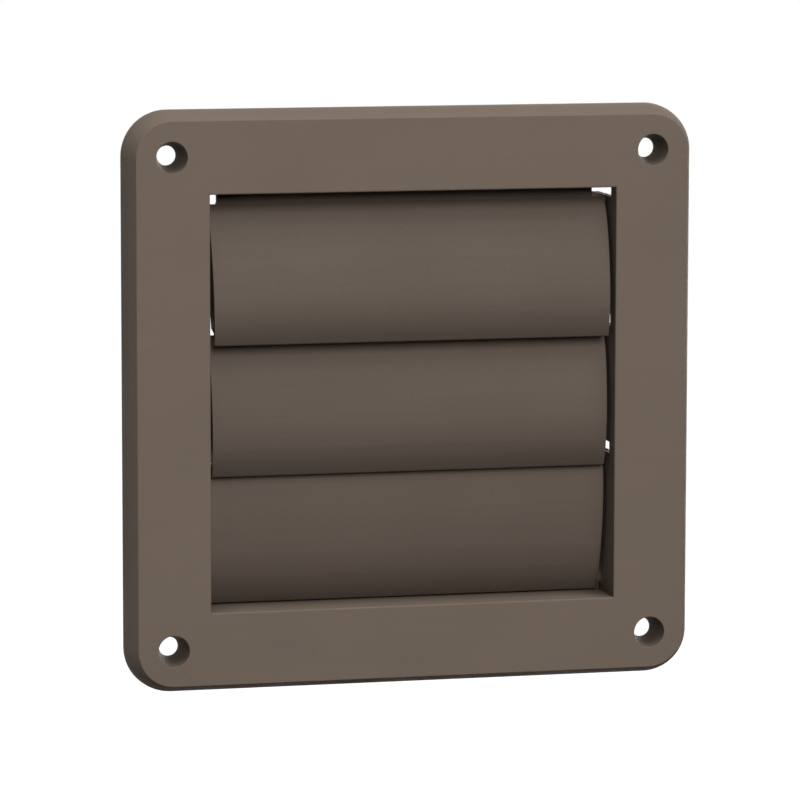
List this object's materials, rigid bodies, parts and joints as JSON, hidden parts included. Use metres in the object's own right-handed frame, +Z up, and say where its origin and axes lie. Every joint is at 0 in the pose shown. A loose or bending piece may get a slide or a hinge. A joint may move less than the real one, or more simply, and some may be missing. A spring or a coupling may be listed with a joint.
{
  "type": "louvred wall vent",
  "caption": "Square moulded face frame with a curved edge and corner screw holes, and hinged gravity louvres that swing forward in a square sleeve.",
  "frame": {"origin": "middle of the four screw holes, on the wall's surface", "axes": "+Z up, -Y out of the wall towards the viewer, +Y into the wall, +X to the viewer's right"},
  "size_m": [0.1524, 0.024, 0.1524],
  "materials": {
    "brown_frame": "satin moulded brown plastic",
    "brown_louvre": "satin moulded brown plastic"
  },
  "bodies": {
    "frame": {"frame": "brown_frame"},
    "louvre_top": {"louvre_top": "brown_louvre"},
    "louvre_middle": {"louvre_middle": "brown_louvre"},
    "louvre_bottom": {"louvre_bottom": "brown_louvre"}
  },
  "joints": [
    {"name": "louvre_bottom_hinge", "type": "hinge", "parent": "frame", "child": "louvre_bottom", "pos_m": [0, 0.0023, -0.0178], "axis": [-1, 0, 0], "range_deg": [0, 70]},
    {"name": "louvre_middle_hinge", "type": "hinge", "parent": "frame", "child": "louvre_middle", "pos_m": [0, 0.0023, 0.0163], "axis": [-1, 0, 0], "range_deg": [0, 70]},
    {"name": "louvre_top_hinge", "type": "hinge", "parent": "frame", "child": "louvre_top", "pos_m": [0, 0.0023, 0.0504], "axis": [-1, 0, 0], "range_deg": [0, 70]}
  ],
  "couplings": [
    {"joint": "louvre_middle_hinge", "follows": "louvre_bottom_hinge", "ratio": 1},
    {"joint": "louvre_top_hinge", "follows": "louvre_bottom_hinge", "ratio": 1}
  ]
}
